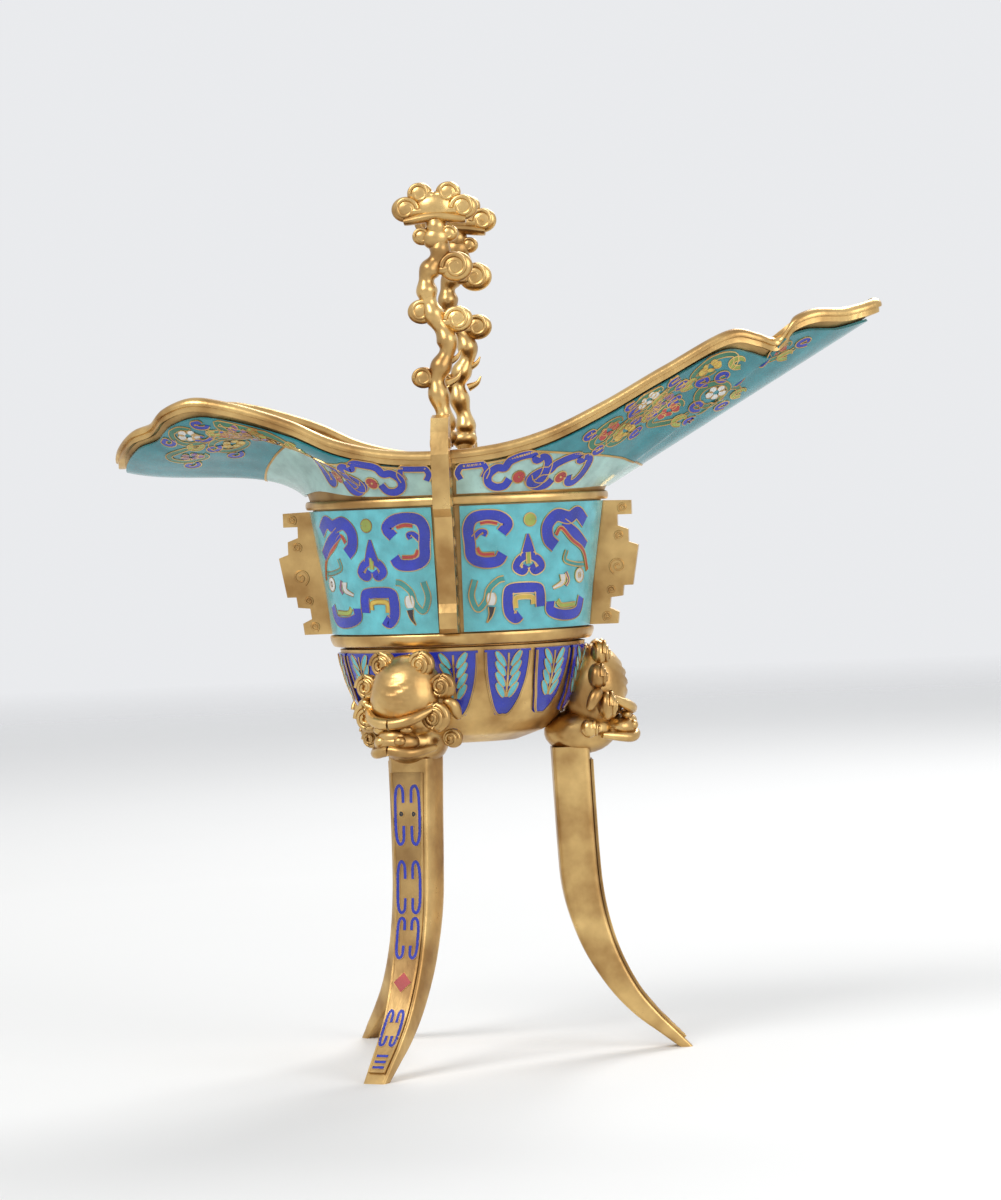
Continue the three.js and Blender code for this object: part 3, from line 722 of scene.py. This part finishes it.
def leg_section():
    """Rounded rectangle at each level, from the inner to the outer edge."""
    a = np.linspace(0, 2 * np.pi, 32, endpoint=False)
    power = 0.28
    x = np.sign(np.cos(a)) * np.abs(np.cos(a)) ** power
    y = np.sign(np.sin(a)) * np.abs(np.sin(a)) ** power
    z, inner, outer, width = (levels[:, k][:, None] for k in range(4))
    grid = [(inner + outer) / 2 + (outer - inner) / 2 * x, width / 2 * y, np.broadcast_to(z, (len(levels), 32))]
    return np.stack(grid, -1)


def leg_face(turn):
    """Outer face of a leg: (millimetres across, share down the leg)."""
    rows = np.linspace(0, 1, len(levels))

    def at(x, v, out=0.0):
        x, v = np.broadcast_arrays(np.asarray(x, float), np.asarray(v, float))
        z = np.interp(v, rows, levels[:, 0])
        r = np.interp(v, rows, levels[:, 2])
        dz = np.interp(v + 0.01, rows, levels[:, 0]) - np.interp(v - 0.01, rows, levels[:, 0])
        dr = np.interp(v + 0.01, rows, levels[:, 2]) - np.interp(v - 0.01, rows, levels[:, 2])
        size = np.maximum(np.hypot(dz, dr), 1e-9)
        return turned(np.stack([r - dz / size * (out + 0.5), x, z + dr / size * (out + 0.5)], -1), turn)
    return at


for name, degrees in LEG_TURNS.items():
    piece("blade_" + name, [turned(leg_section(), degrees)], gilt, ["leg_" + name])
    face = leg_face(degrees)
    v = np.linspace(0.03, 0.93, 120)
    w = np.interp(v, np.linspace(0, 1, len(levels)), levels[:, 3]) / 2 - 1.0
    u = np.linspace(-1, 1, 9)
    strip_grid = np.concatenate([face(u[None, :] * w[:, None], v[:, None], 0.0),
                                 face(u[None, ::-1] * w[:, None], v[:, None], -0.5)], 1)
    piece("leg_ground_" + name, [strip_grid], dull_gilt, ["leg_enamel_" + name])
    for side in (-1, 1):
        ribbon(face, np.stack([side * w, v], -1), 0.1, None)
        for start, tall in ((0.06, 0.12), (0.22, 0.14), (0.38, 0.12), (0.66, 0.13)):
            at = np.interp(start + tall / 2, v, w) * side
            hook = [(0.28, 0.3), (0.32, 0.05), (0.62, 0), (0.82, 0.2), (0.82, 0.8), (0.62, 1), (0.32, 0.95), (0.28, 0.7)]
            ribbon(face, smooth([(x * at, start + tall * y) for x, y in hook], 34), 0.42, "cobalt")
        ribbon(face, arc(side * 1.6, 0.12, 0.25, 0.003, 0, 360), 0.3, "black")
    ribbon(face, smooth([(-2.2, 0.575), (2.2, 0.575)], 21), 2.4 - 2.3 * np.abs(np.linspace(-1, 1, 21)), "red")
    for v0 in (0.84, 0.87, 0.90):
        ribbon(face, smooth([(-1.4, v0), (1.4, v0)], 6), 0.4, "cobalt")
print("legs", len(LEG_TURNS))

# %% [markdown]
# Tubes make the curls of the manes, the clouds and the dragons: a round section that tapers along a path.

# %% Tubes
def tube(path, radius, squash=1.0, sides=12):
    """Round section carried along a path, square to it, with its radius given at each point."""
    path = np.array(path, float)
    ahead = unit(np.gradient(path, axis=0))
    helper = np.array([0.0, 1.0, 0.0]) if abs(ahead[0][1]) < 0.9 else np.array([1.0, 0, 0])
    side = unit(np.cross(ahead, helper))
    up = np.cross(side, ahead)
    a = np.linspace(0, 2 * np.pi, sides, endpoint=False)[None, :, None]
    radius = np.broadcast_to(radius, len(path))[:, None, None]
    return path[:, None] + radius * (np.cos(a) * side[:, None] + squash * np.sin(a) * up[:, None])


def ball(centre, size, n=16, bump=None):
    """Ellipsoid; bump adds to its radius by direction."""
    a = np.linspace(0.02, np.pi - 0.02, n)[:, None]
    b = np.linspace(0, 2 * np.pi, 2 * n, endpoint=False)[None, :]
    way = np.stack([np.sin(a) * np.cos(b), np.sin(a) * np.sin(b), np.cos(a) + 0 * b], -1)
    reach = 1 if bump is None else bump(way)[..., None]
    return np.array(centre) + way * np.array(size) * reach


def curl(x, y, z, r, way=1, turns=1.6, thick=0.28):
    """Spiral lock of hair that coils up to its middle, seen from +X."""
    a = np.linspace(0, turns * 2 * np.pi, 46)
    q = r * (1 - 0.8 * a / a[-1])
    path = np.stack([x + 1.3 * a / a[-1], y + way * q * np.cos(a), z + q * np.sin(a)], -1)
    return tube(path, r * thick * (1 - 0.35 * a / a[-1]))


# %% [markdown]
# A lion mask sits at the top of each leg. The face is an ellipsoid pushed out at the brow, snout and cheeks,
# ringed by coiled locks.

# %% Lion masks
def face_bump(way):
    """Folds on the forehead: ridges that dip in the middle and fade out to the sides and downwards."""
    y, z = way[..., 1], way[..., 2]
    fade = np.exp(-((y / 0.55) ** 4)) * np.exp(-(((z - 0.12) / 0.42) ** 4)) * (way[..., 0] > 0)
    return 1 + 0.035 * fade * np.sin(26 * (z - 0.55 * np.abs(y) ** 1.5))


LOCKS = [(8.6, -2.2, 3.4, 3.6), (9.6, 4.6, 3.0, 1.6), (4.9, 9.6, 3.1, 2.6), (10.4, -7.2, 2.2, -0.6)]
mask = [ball((0.6, 0, 2.0), (8.0, 8.6, 9.8), 40, face_bump), ball((-2.6, 0, -8.2), (8.4, 7.0, 5.4)),
        ball((6.4, 0, -7.6), (4.2, 5.4, 2.9)), ball((8.4, 0, -6.2), (2.2, 3.2, 1.7))]
mask.append(tube(smooth([(2.0, -7.4, -9), (8.6, -4.2, -9.9), (10, 0, -9.2), (8.6, 4.2, -9.9), (2.0, 7.4, -9)], 40),
                 taper(40, 1.25, 0.6)))
mask.append(tube(smooth([(4.4, -8.4, -0.4), (8.4, -4.6, -2.6), (9.4, 0, -3.4), (8.4, 4.6, -2.6), (4.4, 8.4, -0.4)], 40),
                 taper(40, 1.35, 0.5)))
for side in (-1, 1):
    mask.append(ball((8.0, side * 3.3, -4.7), (1.2, 1.6, 1.0)))
    mask.append(ball((9.4, side * 2.4, -7.2), (1.3, 1.5, 1.2)))
    mask.append(tube(smooth([(1.6, side * 9.6, 1.6), (0.6, side * 11.4, 0.2), (-1.2, side * 12, -3)], 20), taper(20, 1.5)))
    for y, z, r, x in LOCKS:
        mask.append(ball((x - 0.5, side * y, z), (2.0, r, r)))
        mask.append(curl(x + 0.6, side * y, z, 0.92 * r, side, 2.2, 0.2))
for name, degrees in LEG_TURNS.items():
    a = np.radians(degrees)
    reach = 29 * (0.35 + 0.65 * np.hypot(np.cos(a), np.sin(a) * OVAL))
    head = [turned(grid + [reach, 0, 82], degrees) for grid in mask]
    piece("lion_" + name, head, gilt, ["lion_mask_" + name])
print("mask pieces", len(mask))

# %% [markdown]
# Two posts stand on the rim. A dragon climbs each one through clouds, under a cap of curled cloud.

# %% Posts
def flat_curl(x, z, r, way, y, start=0, turns=1.5, thick=0.3):
    """Spiral of cloud in the plane of the post."""
    a = np.linspace(0, turns * 2 * np.pi, 50)
    q = r * (0.2 + 0.8 * a / a[-1])
    a = a + np.radians(start)
    path = np.stack([x + way * q * np.cos(a), y + 0 * a, z + q * np.sin(a)], -1)
    return tube(path, r * thick * (0.6 + 0.4 * np.linspace(0, 1, 50)), 1.0)


CLOUDS = [(-4.0, 155.8, 2.4, 1), (4.2, 168.6, 3.0, 1), (-3.8, 170.6, 2.8, -1), (4.2, 180.4, 3.4, 1),
          (-6.4, 193.6, 2.9, -1), (6.4, 193.6, 2.9, 1), (-3.2, 197.0, 2.5, 1), (3.2, 197.0, 2.5, -1),
          (-3.0, 187.4, 2.0, 1), (3.0, 187.9, 1.9, -1)]
for name, y in (("front", -24.3), ("back", 24.3)):
    spine = smooth([(0, y, 140.2), (0.5, y, 146), (-1, y, 155), (1.8, y, 163), (-1.6, y, 171), (-2.4, y, 178),
                    (0.8, y, 184), (0, y, 191)], 120)
    turns = np.linspace(0, 1, 120)
    body = tube(spine, 2.1 + 0.35 * np.sin(turns * 60) * (turns > 0.1), 1.2)
    parts = [body]
    parts += [flat_curl(x, z, 0.9 * r, way, y + 1.3 * s, thick=0.2) for x, z, r, way in CLOUDS for s in (-1, 1)]
    parts += [ball((x, y, z), (1.15 * r, 1.7, r)) for x, z, r, way in CLOUDS]
    parts += [ball((0.5 * x, y, z - 0.6), (0.7 * abs(x), 1.6, 1.3)) for x, z, r, way in CLOUDS]
    parts.append(ball((0, y, 193.8), (4.4, 2.1, 3.4)))
    parts.append(ball((0, y, 187), (3.2, 2.8, 2.8)))
    parts.append(tube(smooth([(-7, y, 190.9), (0, y, 191.8), (7, y, 190.9)], 20), taper(20, 1.3, 0.7), 1.9))
    for z in (154.4, 159):
        parts.append(tube(smooth([(1.5, y, z), (3.6, y, z + 1), (4.6, y, z + 2.6)], 12), np.linspace(1, 0.15, 12)))
    parts.append(ball((0, y, 142.4), (3.1, 2.9, 2.3)))
    piece("dragon_post_" + name, [grid + AXIS for grid in parts], gilt, ["post_" + name])
print("posts 2")

# %% [markdown]
# The flanges and straps keep their solids from the frame. Wires curl on their flat faces, as engraving does.

# %% Flanges and straps
FLANGE_CURLS = [(38.2, 124.9, 1.1), (37.2, 118.6, 1.1), (35.0, 106.2, 1.0), (33.8, 100.2, 1.1), (36.6, 111.6, 2.0)]
scrolls = []
for way in (1, -1):
    for face_side in (1, -1):
        for r, z, size in FLANGE_CURLS:
            path = spiral(r, z, 0.15, size, 0, 600, 50)
            y = np.full(len(path), face_side * 2.0)
            scrolls.append(tube(np.stack([way * path[:, 0], y, path[:, 1]], -1), 0.22, sides=6) + AXIS)
for sy in (1, -1):
    for z in np.arange(101, 142, 4.4):
        out = np.interp(z, [99, 103, 105, 114, 124.4, 126.2, 138], [31, 31, 30.7, 31.7, 33.4, 35.3, 35.5])
        for sx in (1, -1):
            path = spiral(out - 2.6, z, 0.15, 1.5, 0, 560, 40)
            x = np.full(len(path), sx * 2.0)
            scrolls.append(tube(np.stack([x, sy * path[:, 0], path[:, 1]], -1), 0.22, sides=6) + AXIS)
piece("engraved_scrolls", scrolls, gilt)
for name, obj in NODES.items():
    if not obj.hide_render and name.split("_")[0] in ("flange", "strap"):
        obj.data.materials.clear()
        obj.data.materials.append(gilt)
print("scrolls", len(scrolls))

# %% [markdown]
# All cells of one colour are one mesh, and so are all the wires: they share a finish, and the scene stays light.

# %% Cells and wires
for colour, strips in cells.items():
    if colour == "wire":
        for share in range(3):
            piece(f"gilt_wires_{share + 1}", strips[share::3], gilt)
    else:
        slot = "cobalt_enamel" if colour in ("cobalt", "black", "purple") else "turquoise_enamel"
        piece("cells_" + colour, strips, finish[colour])
print({k: len(v) for k, v in cells.items()})

# %% Floor
bpy.ops.mesh.primitive_plane_add(size=6)
floor = bpy.context.object
floor.name = "floor"


def pale(shade):
    place = shade.node("ShaderNodeTexCoord", out=3)
    away = shade.node("ShaderNodeVectorMath", {"operation": "LENGTH"}, out=1, _0=place)
    tone = noise(shade, 3).mix((0.80, 0.80, 0.79, 1), (0.84, 0.84, 0.83, 1))
    return {"Base Color": tone, "Roughness": 0.7, "Alpha": 1 - away.above(0.5, 2.2)}


floor.data.materials.append(material("pale_floor", pale))
floor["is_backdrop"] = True

# %% [markdown]
# The boxes of the imported model and of the dressed one are printed side by side. The
# dressed model has to fit in the box of the imported one.

# %% Sizes and finish
new_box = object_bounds()
[[list(map(float, corner)) for corner in box] for box in (cad_box, new_box)]
print("boxes", cad_box, new_box)
